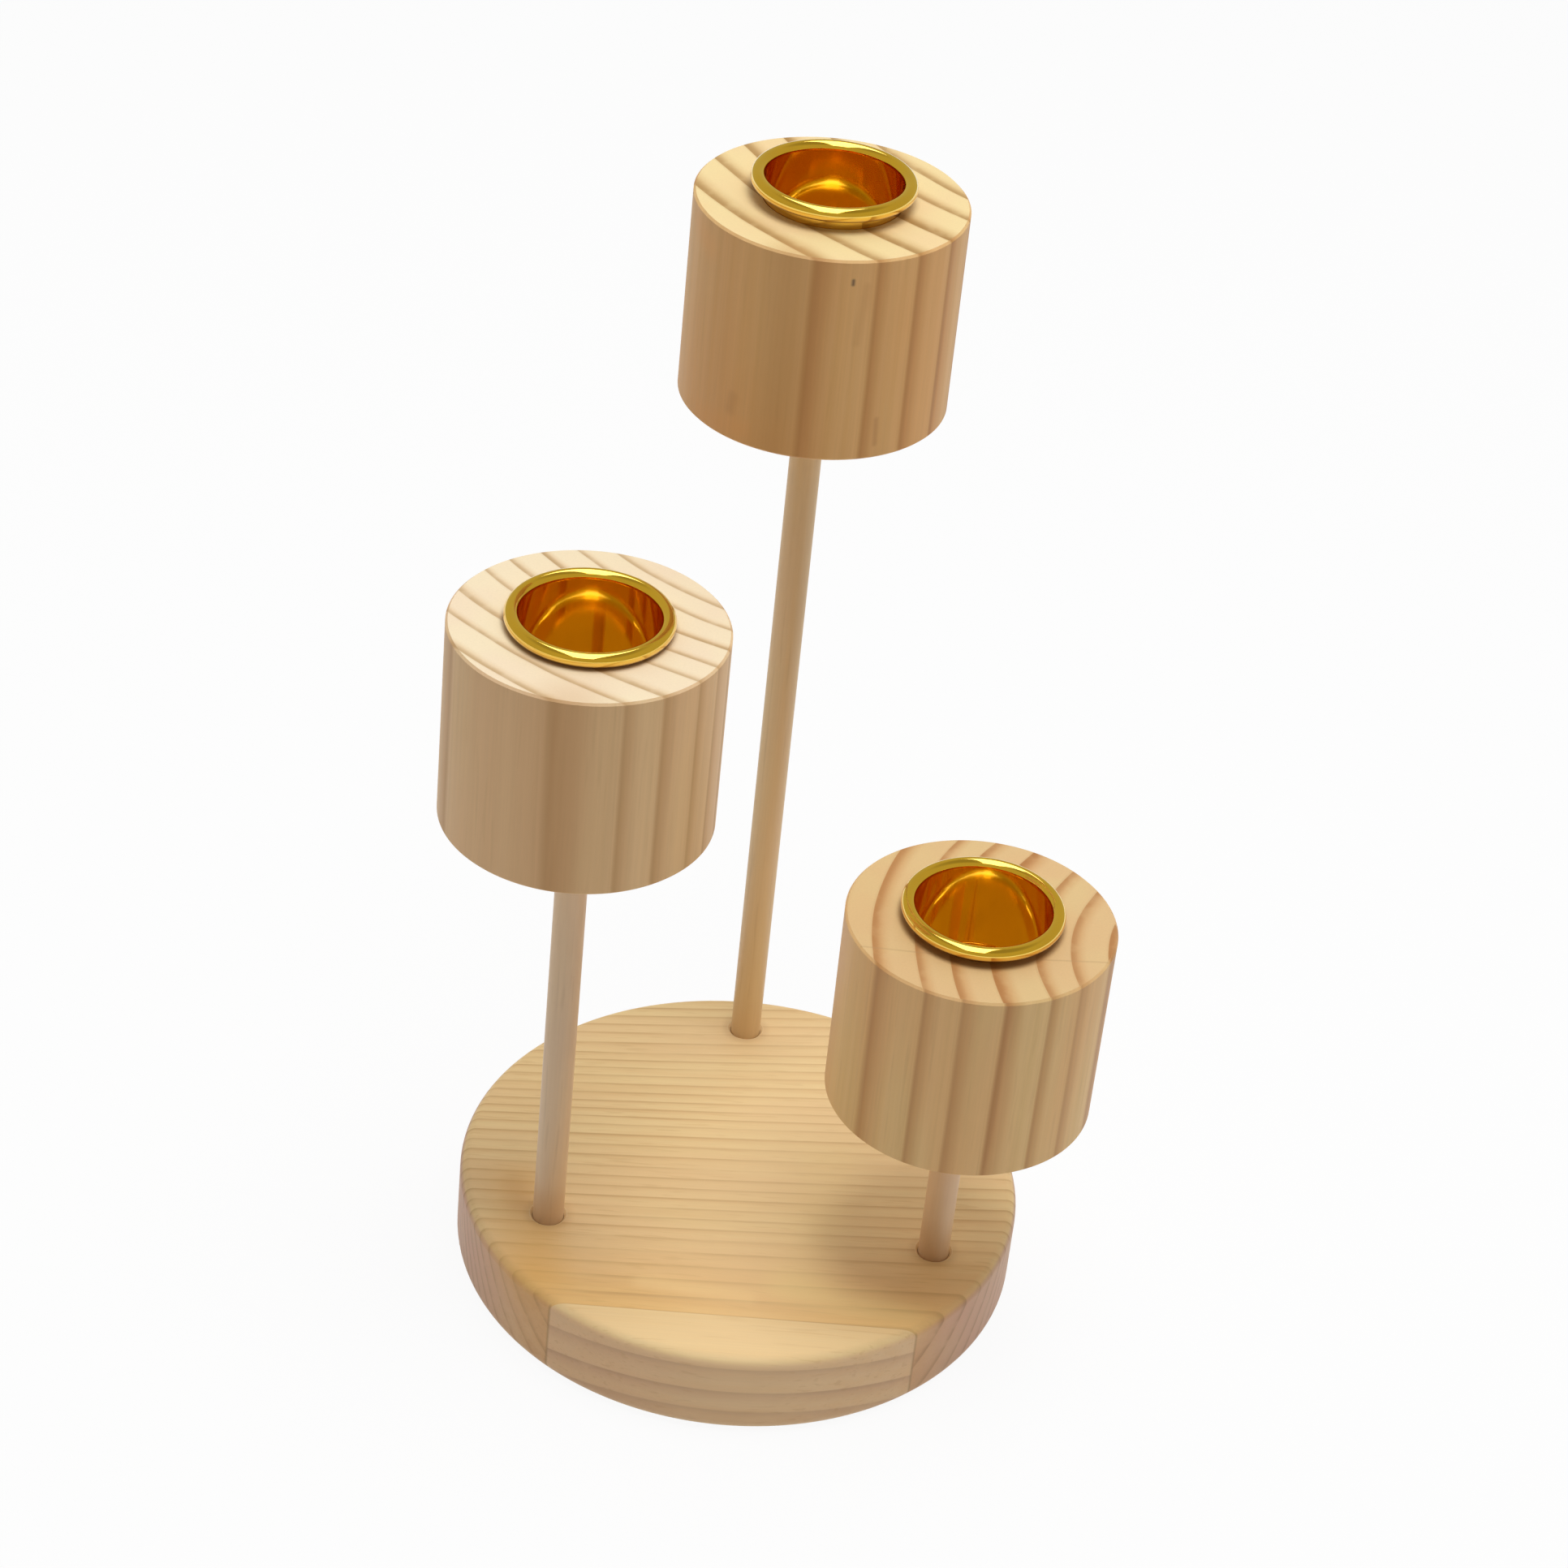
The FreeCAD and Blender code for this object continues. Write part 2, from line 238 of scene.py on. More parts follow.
def ringCount(tree, distance, places):  # turns a distance from the pith into a number of rings
    first, last = places[0], places[-1]
    curve = tree.nodes.new("ShaderNodeFloatCurve")
    line = curve.mapping.curves[0]
    steps = [((radius - first[0]) / (last[0] - first[0]), (count - first[1]) / (last[1] - first[1]))
             for radius, count in places]
    line.points[0].location, line.points[-1].location = steps[0], steps[-1]
    for step in steps[1:-1]:
        line.points.new(*step)
    for point in line.points:
        point.handle_type = "VECTOR"
    curve.mapping.update()
    feed(tree, curve.inputs["Value"], spread(tree, distance, first[0], last[0], smooth=False))
    count = calc(tree, "MULTIPLY", curve.outputs["Value"], float(last[1] - first[1]))
    return calc(tree, "ADD", count, float(first[1]))


# What all the woods share: where a face counts as end grain or as a side, and how fine the surface is
grain = {
    "bandEdges": (-0.2, 0.2), "endGrainEdges": (0.6, 0.92), "sidewaysEdges": (0.3, 0.8),
    "endLineEdge": 0.03, "endDashShare": 0.2, "roughnessVariation": 0.25, "bumpDistance": 0.2 * mm,
}


def turned(wood):
    return [math.radians(angle) for angle in wood["grainTurn"]]


def makeWood(name, wood):
    material = bpy.data.materials.new(name)
    material.use_nodes = True
    tree = material.node_tree
    shader = tree.nodes["Principled BSDF"]
    coordinates = tree.nodes.new("ShaderNodeTexCoord")
    mapping = tree.nodes.new("ShaderNodeMapping")
    mapping.vector_type = "TEXTURE"
    mapping.inputs["Location"].default_value = wood["pith"]
    mapping.inputs["Rotation"].default_value = turned(wood)
    feed(tree, mapping.inputs["Vector"], coordinates.outputs["Object"])
    position = mapping.outputs["Vector"]
    place = coordinates.outputs["Object"]

    fibres = useGroup(tree, fibre, Position=position, Width=wood["fibreWidth"], Blush=wood["blushSize"],
                      Fan=wood["fan"])
    band = spread(tree, fibres["Band"], *grain["bandEdges"])
    colour = blendColour(tree, band, wood["pale"], wood["paleShade"])
    colour = blendColour(tree, calc(tree, "MULTIPLY", fibres["Cloud"], wood["blushShare"]), colour, wood["blush"])
    height = calc(tree, "MULTIPLY", fibres["Relief"], wood["fibreDepth"])
    grainAxis = Vector((0, 0, 1))
    grainAxis.rotate(Euler(turned(wood)))
    across = vectorCalc(tree, "DOT_PRODUCT", coordinates.outputs["Normal"], tuple(grainAxis))
    endGrain = spread(tree, calc(tree, "ABSOLUTE", across), *grain["endGrainEdges"])

    def sideToEnd(side, end):  # a value for the side grain that runs over to one for the end grain
        return spread(tree, endGrain, 0.0, 1.0, side, end, smooth=False)

    if "rings" in wood:
        distance = useGroup(tree, trunk, Position=position, Wander=wood["wander"],
                            WanderSize=wood["wanderSize"], Fan=wood["fan"])["Distance"]
        if "amber" in wood:
            near, far, amberTone = wood["amber"]
            amber = spread(tree, distance, near, far, 1.0, 0.0)
            colour = blendColour(tree, amber, colour, amberTone, "MULTIPLY")
        broken = calc(tree, "SUBTRACT", 1.0, calc(
            tree, "MULTIPLY", wood["broken"], calc(tree, "SUBTRACT", 1.0, fibres["Break"])))
        lineShare = sideToEnd(wood["lineShare"], wood["endLineShare"])
        fade = sideToEnd(wood["fadeShare"], wood["endFadeShare"])
        edge = sideToEnd(wood["lineEdge"], grain["endLineEdge"])
        rings = useGroup(tree, ringLines, Count=ringCount(tree, distance, wood["rings"]), Break=broken,
                         LineShare=lineShare, FadeShare=fade, Edge=edge, Uneven=wood["uneven"])
        endPale = blendColour(tree, calc(tree, "MULTIPLY", fibres["Cloud"], wood["blushShare"]),
                              wood["endPale"], wood["endBlush"])
        colour = blendColour(tree, endGrain, colour, endPale)
        warm = blendColour(tree, endGrain, wood["warm"], wood["endWarm"])
        late = blendColour(tree, endGrain, wood["late"], wood["endLate"])
        warmth = sideToEnd(wood["warmth"], wood["endWarmth"])
        strength = sideToEnd(wood["lineStrength"], wood["endLineStrength"])
        colour = blendColour(tree, calc(tree, "MULTIPLY", rings["Warmth"], warmth), colour, warm)
        colour = blendColour(tree, calc(tree, "MULTIPLY", rings["Line"], strength), colour, late)
        height = calc(tree, "ADD", height, calc(tree, "MULTIPLY", rings["Line"], wood["lineDepth"]))
    dash = sideToEnd(wood["dash"], grain["endDashShare"] * wood["dash"])
    colour = blendColour(tree, calc(tree, "MULTIPLY", fibres["Dash"], dash), colour, wood["dashTone"])
    tone = calc(tree, "ADD", 1.0, calc(tree, "MULTIPLY", fibres["Streak"], wood["streak"]))
    colour = blendColour(tree, 1.0, colour, greyOf(tree, tone), "MULTIPLY")
    # Painted shade: faces that look sideways are tinted darker and pinker
    if "sideShadeTone" in wood:  # faces that look sideways
        upright = vectorCalc(tree, "DOT_PRODUCT", coordinates.outputs["Normal"], (0, 0, 1))
        sideways = spread(tree, calc(tree, "ABSOLUTE", upright), *grain["sidewaysEdges"], 1.0, 0.0)
        colour = blendColour(tree, sideways, colour, wood["sideShadeTone"], "MULTIPLY")
    for start, end, core, halfWidth, strength, tint in wood.get("marks", []):
        stroke = useGroup(tree, mark, Position=place, From=start, To=end, Core=core, HalfWidth=halfWidth)
        mask = stroke["Mask"]
        colour = blendColour(tree, calc(tree, "MULTIPLY", mask, strength), colour, tint)
    feed(tree, shader.inputs["Base Color"], colour)
    feed(tree, shader.inputs["Roughness"], calc(tree, "ADD", wood["roughness"], calc(
        tree, "MULTIPLY", fibres["Streak"], grain["roughnessVariation"])))
    bump = tree.nodes.new("ShaderNodeBump")
    bump.inputs["Strength"].default_value = wood["bump"]
    bump.inputs["Distance"].default_value = grain["bumpDistance"]
    feed(tree, bump.inputs["Height"], height)
    feed(tree, shader.inputs["Normal"], bump.outputs["Normal"])
    shader.inputs["Specular IOR Level"].default_value = wood["gloss"]
    layOut(tree)
    return material


def dress(name, material):
    nodes[name].material_slots[0].material = material


def centreOf(name):
    low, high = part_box(name)
    return (low + high) / 2


def rgb(red, green, blue):
    return (red, green, blue, 1.0)


# Turned blocks: ring places are read off each top, as millimetres from that block's pith

blockWood = {
    "grainTurn": (0, 0, 0), "fan": 0.0,
    "fibreWidth": 0.4, "fibreDepth": 0.35, "streak": 0.11, "roughness": 0.5, "gloss": 0.35, "bump": 0.2,
    "blushSize": 16.0, "blushShare": 0.6, "dash": 0.14, "broken": 0.25,
    "wander": 1.6, "wanderSize": 22.0, "lineDepth": 0.2, "uneven": 0.3,
    "lineShare": 0.15, "lineEdge": 0.12, "fadeShare": 0.42,
    "warmth": 0.95, "endWarmth": 1.0, "lineStrength": 0.45,
}


def onSide(name, bearing, height):  # a point on a block's side: degrees round it, millimetres above its underside
    centre, turn = centreOf(name), math.radians(bearing)
    low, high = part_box(name)
    radius = (high.x - low.x) / 2
    return (centre.x + radius * math.cos(turn), centre.y + radius * math.sin(turn), low.z + height * mm)


def onTop(name, right, back):  # a point on a block's top: millimetres from its middle
    centre = centreOf(name)
    return (centre.x + right * mm, centre.y + back * mm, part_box(name)[1].z)


# Marks: from, to, core and half width, strength and tint of each stroke
resin, split, glow = rgb(0.16, 0.10, 0.06), rgb(0.46, 0.18, 0.05), rgb(0.88, 0.42, 0.13)
sawn, shaded = rgb(0.50, 0.30, 0.14), rgb(0.57, 0.29, 0.10)
# Shade painted on each block's top, round the cup's rim
underRim = {"core": 14.3 * mm, "halfWidth": 15.9 * mm, "tint": rgb(0.30, 0.14, 0.04)}

blocks = {
    "block_tall": {
        "pithOffset": (75, 68), "rimShade": 0.12,
        "ringPlaces": [66.5, 74.5, 81.4, 88.2, 97, 105.5, 112.8, 121.2, 130],
        "pale": rgb(0.82, 0.48, 0.19), "paleShade": rgb(0.76, 0.43, 0.155), "blush": rgb(0.82, 0.42, 0.145),
        "warm": rgb(0.58, 0.25, 0.07), "late": rgb(0.46, 0.21, 0.055),
        "endLineShare": 0.22, "endFadeShare": 0.3, "endLineStrength": 0.75,
        "endPale": rgb(0.86, 0.675, 0.345), "endBlush": rgb(0.86, 0.615, 0.335),
        "endWarm": rgb(0.58, 0.34, 0.12), "endLate": rgb(0.34, 0.18, 0.05), "dashTone": rgb(0.62, 0.33, 0.11),
        "marks": [
            (onSide("block_tall", -78, 35.5), onSide("block_tall", -78, 36.3), 0.0, 0.55 * mm, 0.85, resin),
            (onSide("block_tall", -61, 3), onSide("block_tall", -61.5, 8), 0.0, 0.9 * mm, 0.35, split),
            (onSide("block_tall", -74, 24), onSide("block_tall", -72, 35), 0.0, 1.4 * mm, 0.16, split),
            # Painted shade: a darker band down the side where it faces the front
            (onSide("block_tall", -104, -2), onSide("block_tall", -104, 42), 0.0, 8.0 * mm, 0.45, shaded),
            (onSide("block_tall", -125, 6), onSide("block_tall", -124, 9), 0.0, 1.8 * mm, 0.22, split),
            (onSide("block_tall", -158, 37), onSide("block_tall", -146, 35), 0.0, 4.5 * mm, 0.4, glow),
            (onSide("block_tall", -142, 2), onSide("block_tall", -120, 3), 0.0, 4.0 * mm, 0.35, glow)],
    },
    "block_middle": {
        "pithOffset": (57.5, 80), "rimShade": 0.6,
        "ringPlaces": [66, 72.5, 78.7, 84, 90, 96, 101.7, 109.3, 115, 121.6, 128],
        "pale": rgb(0.85, 0.56, 0.28), "paleShade": rgb(0.79, 0.51, 0.25), "blush": rgb(0.84, 0.51, 0.26),
        "warm": rgb(0.62, 0.34, 0.14), "late": rgb(0.52, 0.28, 0.10),
        "endLineShare": 0.14, "endFadeShare": 0.24, "endLineStrength": 0.55,
        "endPale": rgb(0.92, 0.775, 0.535), "endBlush": rgb(0.91, 0.725, 0.525),
        "endWarm": rgb(0.74, 0.51, 0.27), "endLate": rgb(0.40, 0.25, 0.11), "dashTone": rgb(0.62, 0.38, 0.17),
        "marks": [
            # Painted shade: a darker band down the side where it faces the front
            (onSide("block_middle", -92, -2), onSide("block_middle", -92, 42), 0.0, 11.0 * mm, 0.32, shaded)],
    },
    "block_low": {
        "pithOffset": (55, -6), "rimShade": 0.6,
        "ringPlaces": [24, 32, 38.8, 45.4, 54.2, 61.2, 67.2, 75, 83],
        "pale": rgb(0.86, 0.57, 0.25), "paleShade": rgb(0.80, 0.52, 0.215), "blush": rgb(0.86, 0.49, 0.205),
        "warm": rgb(0.58, 0.27, 0.09), "late": rgb(0.46, 0.21, 0.065),
        "endLineShare": 0.2, "endFadeShare": 0.3, "endLineStrength": 0.6,
        "endPale": rgb(0.765, 0.547, 0.262), "endBlush": rgb(0.765, 0.493, 0.244),
        "endWarm": rgb(0.60, 0.28, 0.09), "endLate": rgb(0.40, 0.17, 0.05), "dashTone": rgb(0.58, 0.33, 0.14),
        "marks": [
            (onTop("block_low", -22, -12), onTop("block_low", -9, -12), 0.0, 0.4 * mm, 0.35, sawn),
            (onTop("block_low", 9, -10.5), onTop("block_low", 23, -9), 0.0, 0.4 * mm, 0.35, sawn)],
    },
}

for name, block in blocks.items():
    centre = centreOf(name)
    across, back = block["pithOffset"]
    wood = dict(blockWood, **block)
    wood["pith"] = (centre.x + across * mm, centre.y + back * mm, centre.z)
    wood["rings"] = [(radius, count) for count, radius in enumerate(block["ringPlaces"], 1)]
    wood["marks"] = block["marks"] + [(onTop(name, 0, 0), onTop(name, 0, 0.1), underRim["core"],
                                       underRim["halfWidth"], block["rimShade"], underRim["tint"])]
    dress(name, makeWood(name + "_wood", wood))
print("blocks dressed")

# Base: the board's grain runs left to right, with its pith in front of and above it

baseWood = {
    "pith": (0.0, -0.140, 0.076), "grainTurn": (0, 90, -4.8), "fan": 1.18,
    "rings": [(100, 0), (110.3, 3), (113.8, 4), (118.1, 5), (122.5, 6), (133.3, 9), (141.5, 12), (152.9, 16),
              (165.0, 20), (172.5, 23), (180.6, 26), (188.2, 29), (194.9, 31), (206, 35)],
    # Painted shade: the board's sideways faces are tinted darker and pinker
    "amber": (110.0, 138.0, rgb(0.93, 0.79, 0.60)), "sideShadeTone": rgb(0.92, 0.83, 0.90),
    "fibreWidth": 0.34, "fibreDepth": 0.35, "streak": 0.11, "roughness": 0.46, "gloss": 0.3, "bump": 0.25,
    "blushSize": 15.0, "blushShare": 0.6, "dash": 0.22, "broken": 0.75,
    "wander": 1.6, "wanderSize": 30.0, "lineDepth": 0.2, "uneven": 0.45,
    "lineShare": 0.2, "endLineShare": 0.2, "lineEdge": 0.05, "fadeShare": 0.45, "endFadeShare": 0.45,
    "warmth": 0.42, "endWarmth": 0.5, "lineStrength": 0.48, "endLineStrength": 0.6,
    "pale": rgb(0.92, 0.68, 0.34), "paleShade": rgb(0.88, 0.62, 0.30), "blush": rgb(0.90, 0.62, 0.32),
    "warm": rgb(0.70, 0.41, 0.16), "late": rgb(0.56, 0.32, 0.12), "dashTone": rgb(0.64, 0.38, 0.14),
    "endPale": rgb(0.74, 0.50, 0.28), "endBlush": rgb(0.74, 0.45, 0.27),
    "endWarm": rgb(0.58, 0.34, 0.17), "endLate": rgb(0.42, 0.23, 0.10),
}

# Glue line between the board and the strip, the shade and light painted round the dowels' feet, and a pale sheen
# painted along the middle
joint = {
    "left": (-0.0328, -0.0441), "right": (0.0365, -0.0411), "top": 0.018, "rimTop": 0.0172,
    "rimHalfWidth": 0.5 * mm, "rimStrength": 0.5, "topHalfWidth": 0.25 * mm, "topStrength": 0.25,
    "tint": rgb(0.40, 0.22, 0.09),
}
seam = []
for end in (joint["left"], joint["right"]):
    seam.append(((*end, 0.0), (*end, joint["rimTop"]),
                 0.0, joint["rimHalfWidth"], joint["rimStrength"], joint["tint"]))
seam.append(((*joint["left"], joint["top"]), (*joint["right"], joint["top"]),
             0.0, joint["topHalfWidth"], joint["topStrength"], joint["tint"]))

# Painted round each dowel: a soft warm ring of shade, and a pale mouth of its hole, painted lighter because it
# renders too dark
footRings = [(3.2 * mm, 5.6 * mm, 0.22, joint["tint"]), (3.5 * mm, 3.8 * mm, 0.6, rgb(1.0, 0.82, 0.50))]
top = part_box("base_board")[1].z
feet = []
for name in ("dowel_tall", "dowel_middle", "dowel_low"):
    foot = centreOf(name)
    for core, halfWidth, strength, tint in footRings:
        feet.append(((foot.x, foot.y, top), (foot.x, foot.y, top + mm), core, halfWidth, strength, tint))
paleSheen = [((0.006, -0.046, 0.019), (0.006, 0.034, 0.019), 0.0, 32 * mm, 0.3, rgb(1.0, 0.75, 0.42))]

# Light and shade painted on the board, in millimetres: a warm shade at the left front corner, a shade beside the
# middle dowel's foot, and pale sweeps that lighten the low block's shade and one dark ring at the front
boardShades = [
    ((-42, -12), (-37, -36), 11.0, 0.35, rgb(0.80, 0.40, 0.05)),
    ((-41.5, -17), (-43.5, -11), 4.5, 0.22, shaded),
    ((18, 4), (15, -30), 10.0, 0.2, rgb(1.0, 0.76, 0.34)),
    ((12, -33), (34, -38), 8.0, 0.33, rgb(1.0, 0.78, 0.34)),
    ((-16, -35.5), (4, -37), 3.5, 0.35, rgb(1.0, 0.72, 0.34)),
]
sweeps = []
for start, end, halfWidth, strength, tint in boardShades:
    start, end = ((right * mm, back * mm, top) for right, back in (start, end))
    sweeps.append((start, end, 0.0, halfWidth * mm, strength, tint))
dress("base_board", makeWood("base_board_wood", dict(baseWood, marks=paleSheen + sweeps + seam + feet)))

# Front strip: its own pith lies in front and below, so its rings bow the other way
stripWood = dict(
    baseWood, pith=(0.0, -0.075, -0.078), grainTurn=(0, 90, 2.5), fan=0.0,
    rings=[(60, 0), (72, 2), (79, 3), (85.8, 4), (90.5, 5), (96.2, 6), (103.5, 7), (111, 8)],
    wander=0.8, broken=0.3, fadeShare=0.6, lineStrength=0.35, warmth=0.5, marks=paleSheen + seam,
    pale=rgb(0.96, 0.73, 0.38), paleShade=rgb(0.94, 0.69, 0.34), blush=rgb(0.95, 0.68, 0.35),
    warm=rgb(0.68, 0.42, 0.23), late=rgb(0.54, 0.32, 0.17))
del stripWood["amber"]
dress("base_front_strip", makeWood("base_strip_wood", stripWood))
print("base dressed")

# Dowels: smooth pale hardwood without rings

dowelWood = {
    "pith": (0, 0, 0), "grainTurn": (0, 0, 0), "fan": 0.0,
    "fibreWidth": 0.4, "fibreDepth": 0.3, "streak": 0.10, "roughness": 0.45, "gloss": 0.45, "bump": 0.15,
    "blushSize": 10.0, "blushShare": 0.4, "dash": 0.2, "dashTone": rgb(0.56, 0.36, 0.19),
}
dowelTones = {
    "dowel_tall": (rgb(0.83, 0.60, 0.32), rgb(0.79, 0.55, 0.28), rgb(0.83, 0.56, 0.31)),
    "dowel_middle": (rgb(0.85, 0.62, 0.39), rgb(0.81, 0.57, 0.35), rgb(0.83, 0.58, 0.39)),
    "dowel_low": (rgb(0.85, 0.58, 0.34), rgb(0.81, 0.53, 0.29), rgb(0.84, 0.54, 0.34)),
}
footShade = {  # a warm shade painted up from each foot, and how strong it is
    "core": 4 * mm, "halfWidth": 10 * mm, "tint": rgb(0.66, 0.38, 0.17),
    "dowel_tall": 0.12, "dowel_middle": 0.3, "dowel_low": 0.3,
}
for name, (pale, paleShade, blush) in dowelTones.items():
    foot = centreOf(name)
    shade = ((foot.x, foot.y, top), (foot.x, foot.y, top + mm),
             footShade["core"], footShade["halfWidth"], footShade[name], footShade["tint"])
    dress(name, makeWood(name + "_wood", dict(
        dowelWood, pale=pale, paleShade=paleShade, blush=blush, marks=[shade])))
print("dowels dressed")

# Brass cups: polished, with the faint lines of the spinning lathe round each axis. The tone is deeper and the
# coat's IOR higher than real brass and lacquer have, both tried out in the yellow room that the brass mirrors

brass = {"tone": rgb(0.91, 0.60, 0.025), "toneShade": rgb(0.87, 0.565, 0.025), "roughness": 0.075,
         "lacquer": 1.0, "lacquerRoughness": 0.04, "lacquerIOR": 2.0,
         "cloudSize": 140.0, "cloudEdges": (0.35, 0.65), "roughnessVariation": 0.08,
         "lineSize": 0.12, "bump": 0.012, "bumpDistance": 0.05 * mm}


def makeBrass(name, centre):
    material = bpy.data.materials.new(name)
    material.use_nodes = True
    tree = material.node_tree
    shader = tree.nodes["Principled BSDF"]
    coordinates = tree.nodes.new("ShaderNodeTexCoord")
    mapping = tree.nodes.new("ShaderNodeMapping")
    mapping.vector_type = "TEXTURE"
    mapping.inputs["Location"].default_value = centre
    feed(tree, mapping.inputs["Vector"], coordinates.outputs["Object"])
    position = mapping.outputs["Vector"]
    parts = tree.nodes.new("ShaderNodeSeparateXYZ")
    feed(tree, parts.inputs["Vector"], position)
    radius = vectorCalc(tree, "LENGTH", vectorCalc(tree, "MULTIPLY", position, (1, 1, 0)))
    spun = tree.nodes.new("ShaderNodeCombineXYZ")
    feed(tree, spun.inputs["X"], radius)
    feed(tree, spun.inputs["Z"], parts.outputs["Z"])
    lines = noise(tree, spun.outputs["Vector"], 1000.0 / brass["lineSize"], 2.0)
    clouds = noise(tree, position, brass["cloudSize"], 2.0)
    feed(tree, shader.inputs["Base Color"],
         blendColour(tree, spread(tree, clouds, *brass["cloudEdges"]), brass["tone"], brass["toneShade"]))
    shader.inputs["Metallic"].default_value = 1.0
    shader.inputs["Coat Weight"].default_value = brass["lacquer"]
    shader.inputs["Coat Roughness"].default_value = brass["lacquerRoughness"]
    shader.inputs["Coat IOR"].default_value = brass["lacquerIOR"]
    feed(tree, shader.inputs["Roughness"], calc(tree, "ADD", brass["roughness"], calc(
        tree, "MULTIPLY", calc(tree, "SUBTRACT", clouds, 0.5), brass["roughnessVariation"])))
    bump = tree.nodes.new("ShaderNodeBump")
    bump.inputs["Strength"].default_value = brass["bump"]
    bump.inputs["Distance"].default_value = brass["bumpDistance"]
    feed(tree, bump.inputs["Height"], lines)
    feed(tree, shader.inputs["Normal"], bump.outputs["Normal"])
    layOut(tree)
    return material


for name in ("cup_tall", "cup_middle", "cup_low"):
    dress(name, makeBrass(name + "_brass", centreOf(name)))
print("cups dressed")

# Floor and light: a large soft lamp above, its broad cover that shows only as gloss, and a room dimmer in front.
# Gloss mirrors the room as an even yellow, darker than the white that the camera sees

studio = {
    "floorSize": 8.0, "floorTone": rgb(0.85, 0.85, 0.85), "whiteShare": 0.93,
    "frontGlow": 0.17, "backGlow": 0.85, "glowEdges": (-0.45, 0.85), "sideGlow": 0.25, "rightGlow": 0.09,
    "wallMirrored": 0.50, "ceilingMirrored": 0.32, "ceilingEdges": (0.7, 0.92),
    "mirroredTone": rgb(1.0, 0.84, 0.28),
    "keyPlace": (0.1, -0.08, 1.05), "keySize": (0.5, 0.5), "keyPower": 5.4,
    "keyAim": (0.0, 0.0, 0.09),
    "softboxPlace": (-0.08, -0.1, 1.3), "softboxSize": (0.56, 1.9), "softboxPower": 8.1,
    "softboxAim": (-0.08, -0.18, 0.09), "bounces": 24,
}


def seesBackground(tree):  # camera, mirror and glass rays
    path = tree.nodes.new("ShaderNodeLightPath")
    seen = calc(tree, "MAXIMUM", path.outputs["Is Camera Ray"], path.outputs["Is Glossy Ray"])
    return calc(tree, "MAXIMUM", seen, path.outputs["Is Transmission Ray"])


def makeFloor():
    half = studio["floorSize"] / 2
    mesh = bpy.data.meshes.new("floor")
    corners = [(-half, -half, 0), (half, -half, 0), (half, half, 0), (-half, half, 0)]
    mesh.from_pydata(corners, [], [(0, 1, 2, 3)])
    floor = bpy.data.objects.new("floor", mesh)
    bpy.context.scene.collection.objects.link(floor)
    material = bpy.data.materials.new("white_floor")
    material.use_nodes = True
    tree = material.node_tree
    tree.nodes.remove(tree.nodes["Principled BSDF"])
    paper = tree.nodes.new("ShaderNodeBsdfDiffuse")
    paper.inputs["Color"].default_value = studio["floorTone"]
    white = tree.nodes.new("ShaderNodeEmission")
    mixer = tree.nodes.new("ShaderNodeMixShader")
    feed(tree, mixer.inputs[0], calc(tree, "MULTIPLY", seesBackground(tree), studio["whiteShare"]))
    feed(tree, mixer.inputs[1], paper.outputs[0])
    feed(tree, mixer.inputs[2], white.outputs[0])
    feed(tree, tree.nodes["Material Output"].inputs["Surface"], mixer.outputs[0])
    layOut(tree)
    mesh.materials.append(material)


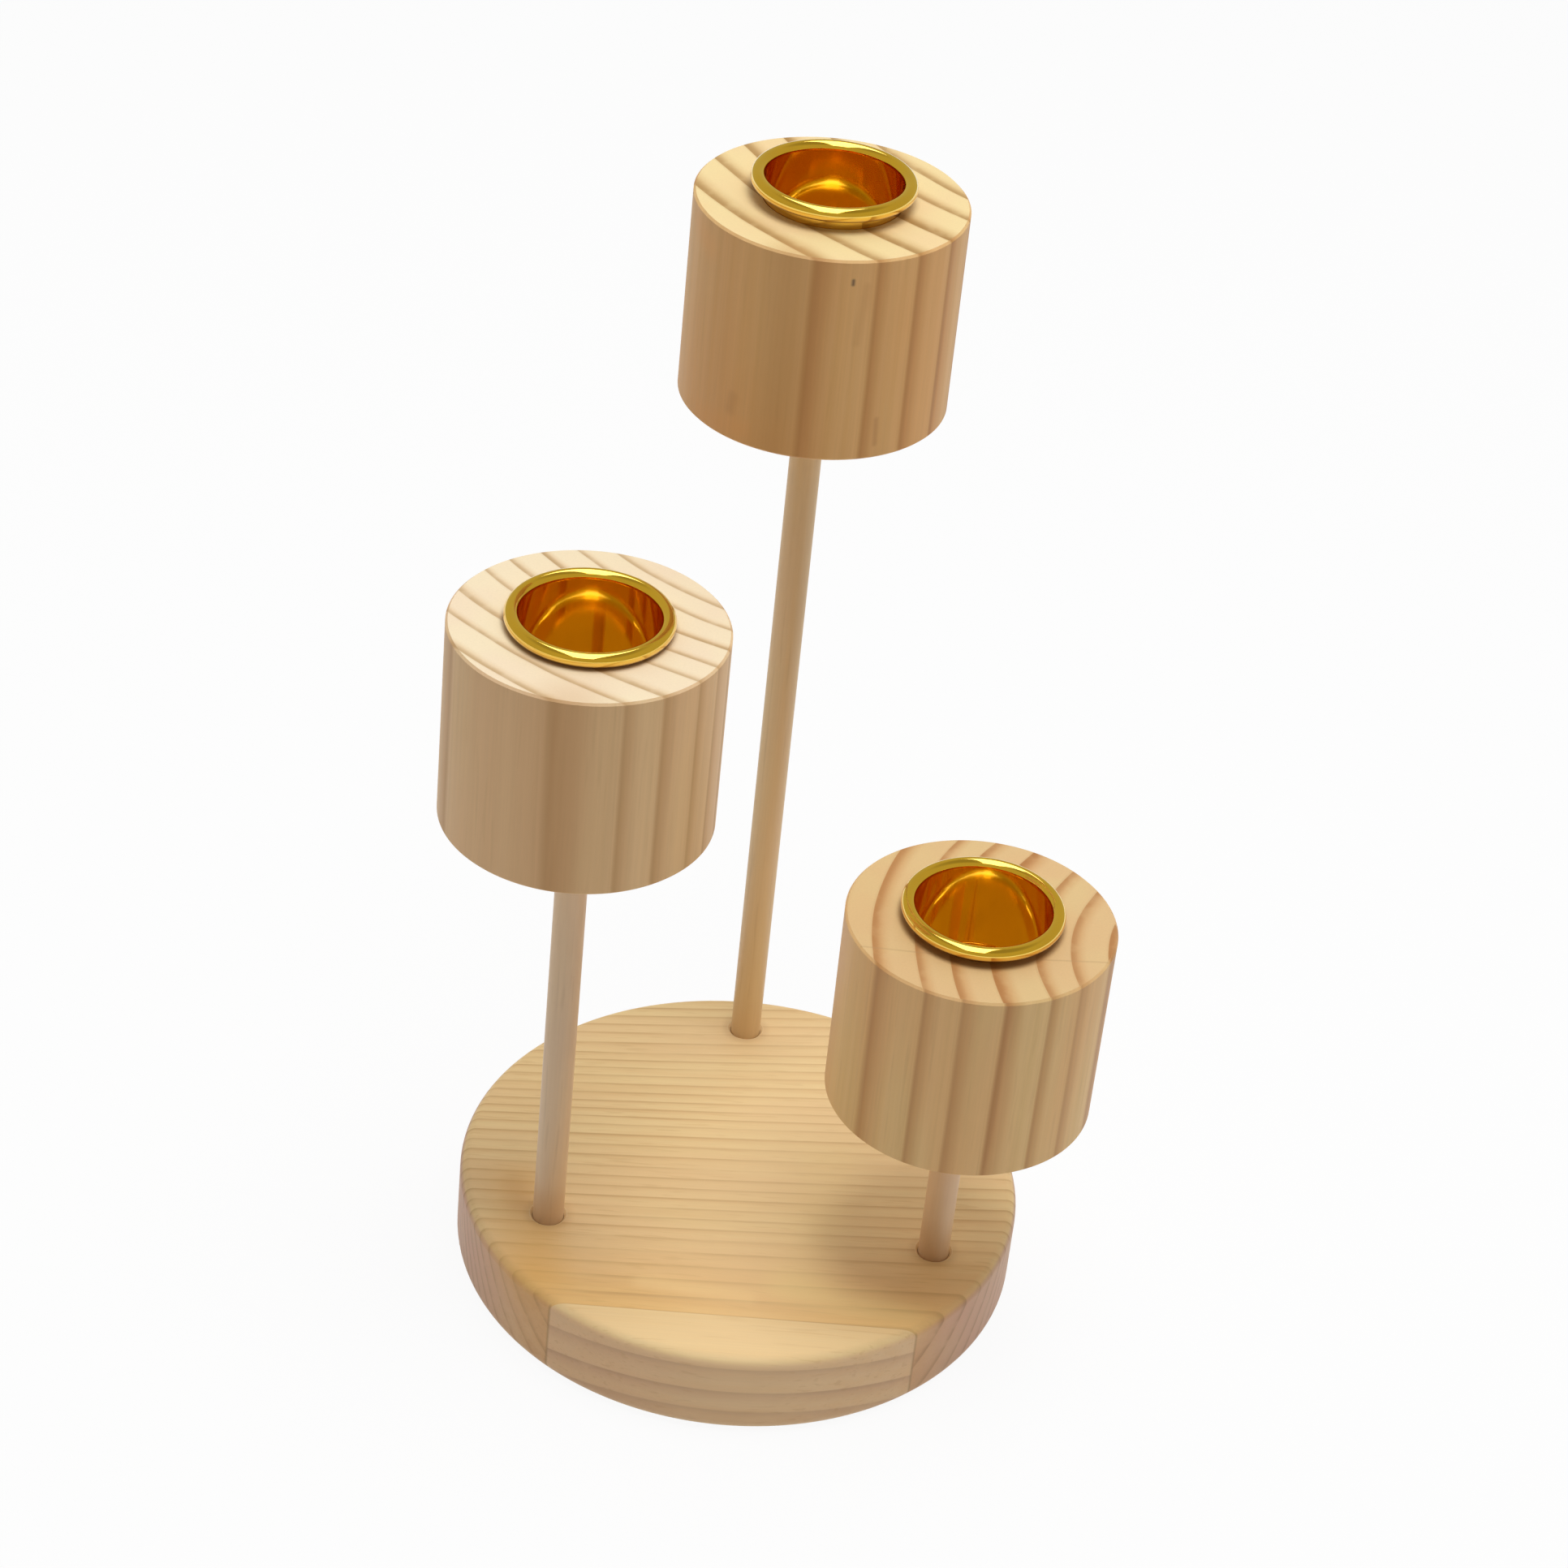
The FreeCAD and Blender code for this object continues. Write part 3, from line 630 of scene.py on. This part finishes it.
def makeWorld():
    world = bpy.data.worlds.new("studio")
    bpy.context.scene.world = world
    world.use_nodes = True
    tree = world.node_tree
    direction = tree.nodes.new("ShaderNodeSeparateXYZ")
    feed(tree, direction.inputs[0], tree.nodes.new("ShaderNodeTexCoord").outputs["Generated"])
    aside = calc(tree, "MULTIPLY", calc(tree, "ABSOLUTE", direction.outputs["X"]), studio["sideGlow"])
    aside = calc(tree, "ADD", aside, calc(tree, "MULTIPLY", direction.outputs["X"], studio["rightGlow"]))
    room = spread(tree, calc(tree, "ADD", direction.outputs["Y"], aside), *studio["glowEdges"],
                  studio["frontGlow"], studio["backGlow"])
    mirrored = spread(tree, direction.outputs["Z"], *studio["ceilingEdges"],
                      studio["wallMirrored"], studio["ceilingMirrored"])
    path = tree.nodes.new("ShaderNodeLightPath").outputs
    light = blendColour(tree, calc(tree, "MAXIMUM", path["Is Glossy Ray"], path["Is Transmission Ray"]),
                        greyOf(tree, room),
                        blendColour(tree, 1.0, greyOf(tree, mirrored), studio["mirroredTone"], "MULTIPLY"))
    feed(tree, tree.nodes["Background"].inputs["Color"],
         blendColour(tree, path["Is Camera Ray"], light, rgb(1, 1, 1)))
    layOut(tree)


def makeLamp(name, lights=True):
    lamp = bpy.data.lights.new(name, "AREA")
    lamp.shape = "RECTANGLE"
    lamp.size, lamp.size_y = studio[name + "Size"]
    lamp.energy = studio[name + "Power"]
    holder = bpy.data.objects.new(name, lamp)
    holder.visible_glossy, holder.visible_diffuse = not lights, lights
    bpy.context.scene.collection.objects.link(holder)
    place = Vector(studio[name + "Place"])
    aim = place - Vector(studio[name + "Aim"])
    holder.matrix_world = Matrix.Translation(place) @ aim.to_track_quat("Z", "Y").to_matrix().to_4x4()


makeFloor()
makeWorld()
makeLamp("key")
makeLamp("softbox", lights=False)
cycles = bpy.context.scene.cycles
cycles.max_bounces = cycles.glossy_bounces = studio["bounces"]  # light passes to and fro inside the cups
print("floor and lights placed")

# Camera, as fitted to the photograph's edges

shot = {
    "place": (0.0, -0.5818, 0.5108), "lens": 88.23, "sensor": 36.0, "nearest": 0.01,
    "yaw": 0.053, "pitch": 34.507, "roll": 6.141,  # degrees
}


def makeCamera():
    yaw, pitch, roll = (math.radians(shot[angle]) for angle in ("yaw", "pitch", "roll"))
    forward = Vector((math.sin(yaw) * math.cos(pitch), math.cos(yaw) * math.cos(pitch), -math.sin(pitch)))
    right = forward.cross(Vector((0, 0, 1))).normalized()
    up = right.cross(forward)
    right, up = (right * math.cos(roll) + up * math.sin(roll),
                 up * math.cos(roll) - right * math.sin(roll))
    lens = bpy.data.cameras.new("camera")
    lens.lens, lens.sensor_width, lens.sensor_fit = shot["lens"], shot["sensor"], "HORIZONTAL"
    lens.clip_start = shot["nearest"]
    camera = bpy.data.objects.new("camera", lens)
    bpy.context.scene.collection.objects.link(camera)
    turn = Matrix((right, up, -forward)).transposed().to_4x4()
    camera.matrix_world = Matrix.Translation(shot["place"]) @ turn
    bpy.context.scene.camera = camera


makeCamera()
bpy.context.scene.view_settings.view_transform = "Standard"
print("camera placed")
